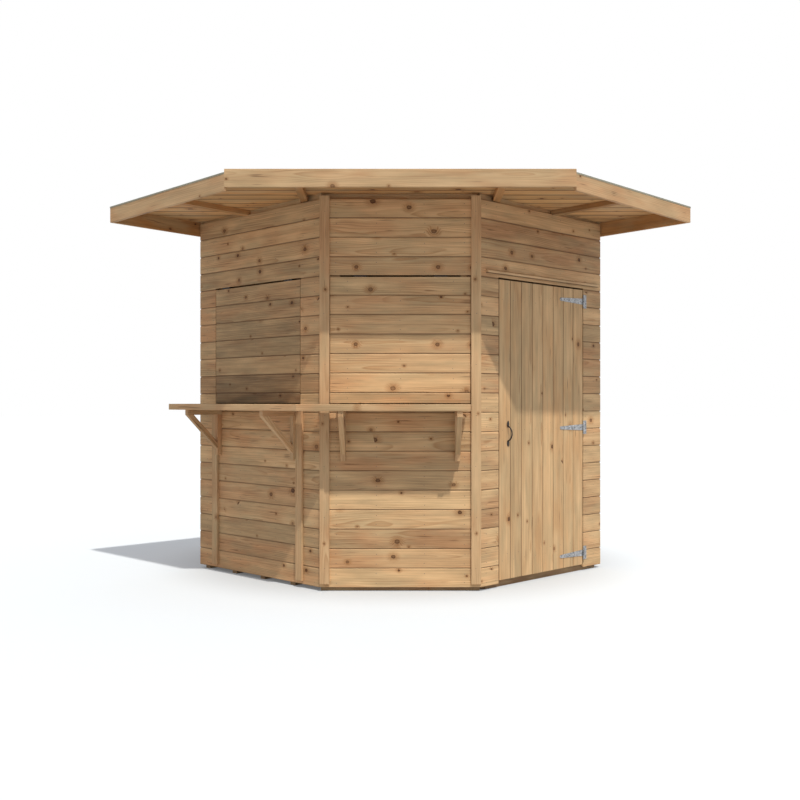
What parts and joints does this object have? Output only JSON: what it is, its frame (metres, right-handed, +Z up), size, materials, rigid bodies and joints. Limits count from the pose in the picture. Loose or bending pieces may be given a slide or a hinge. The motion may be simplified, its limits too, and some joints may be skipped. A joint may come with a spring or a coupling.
{
  "type": "corner garden bar",
  "caption": "Five-sided timber garden bar hut for a corner, with serving hatches over a wrap-round shelf, a boarded door on tee hinges and a flat overhanging roof.",
  "frame": {"origin": "on the ground under the middle of the roof's outline", "axes": "+Z up; -Y is the cut front wall with the front hatch; +X is to the right seen from the front, towards the door side"},
  "size_m": [3.5706, 2.6304, 2.3268],
  "materials": {
    "cladding": "rough planed and treated",
    "framing": "planed",
    "trim_timber": "planed",
    "door_timber": "planed",
    "roof_timber": "planed",
    "roof_felt": "mineral felt",
    "hinge_steel": "galvanised",
    "black_iron": "black coated"
  },
  "bodies": {
    "hut": {"floor_bearers": "framing", "front_rim_bearer": "framing", "floor_boards": "framing", "door_threshold": "framing", "front_wall_lower": "cladding", "front_wall_left_side": "cladding", "front_wall_right_side": "cladding", "front_wall_upper": "cladding", "left_wall_lower": "cladding", "left_wall_front_side": "cladding", "left_wall_back_side": "cladding", "left_wall_upper": "cladding", "right_wall_front_side": "cladding", "right_wall_back_side": "cladding", "right_wall_over_door": "cladding", "back_left_wall": "cladding", "back_right_wall": "cladding", "front_left_corner_trim": "trim_timber", "front_right_corner_trim": "trim_timber", "front_shelf": "trim_timber", "left_shelf": "trim_timber", "front_left_bracket": "trim_timber", "front_right_bracket": "trim_timber", "left_near_bracket": "trim_timber", "left_far_bracket": "trim_timber", "left_wall_battens": "trim_timber", "door_drip_mould": "trim_timber", "roof_rafters": "roof_timber", "roof_lookouts": "roof_timber", "roof_boards": "roof_timber", "roof_felt": "roof_felt", "front_fascia": "roof_timber", "side_fascias": "roof_timber", "back_left_fascia": "roof_timber", "back_right_fascia": "roof_timber", "door_hinge_plates": "hinge_steel", "hatch_hinge_leaves": "black_iron"},
    "door": {"door_boards": "door_timber", "door_ledges": "door_timber", "door_hinge_straps": "hinge_steel", "door_handle": "black_iron"},
    "front_hatch_leaf": {"front_hatch": "cladding", "front_hatch_hinges": "black_iron"},
    "left_hatch_leaf": {"left_hatch": "cladding", "left_hatch_hinges": "black_iron"}
  },
  "joints": [
    {"name": "door_hinge", "type": "hinge", "parent": "hut", "child": "door", "pos_m": [1.17895, -0.18269, 0.9], "axis": [0, 0, 1], "range_deg": [0, 165]},
    {"name": "front_hatch_hinge", "type": "hinge", "parent": "hut", "child": "front_hatch_leaf", "pos_m": [0, -0.88816, 1.8075], "axis": [-1, 0, 0], "range_deg": [0, 90]},
    {"name": "left_hatch_hinge", "type": "hinge", "parent": "hut", "child": "left_hatch_leaf", "pos_m": [-0.88585, -0.46448, 1.8075], "axis": [-0.7071, 0.7071, 0], "range_deg": [0, 90]}
  ]
}
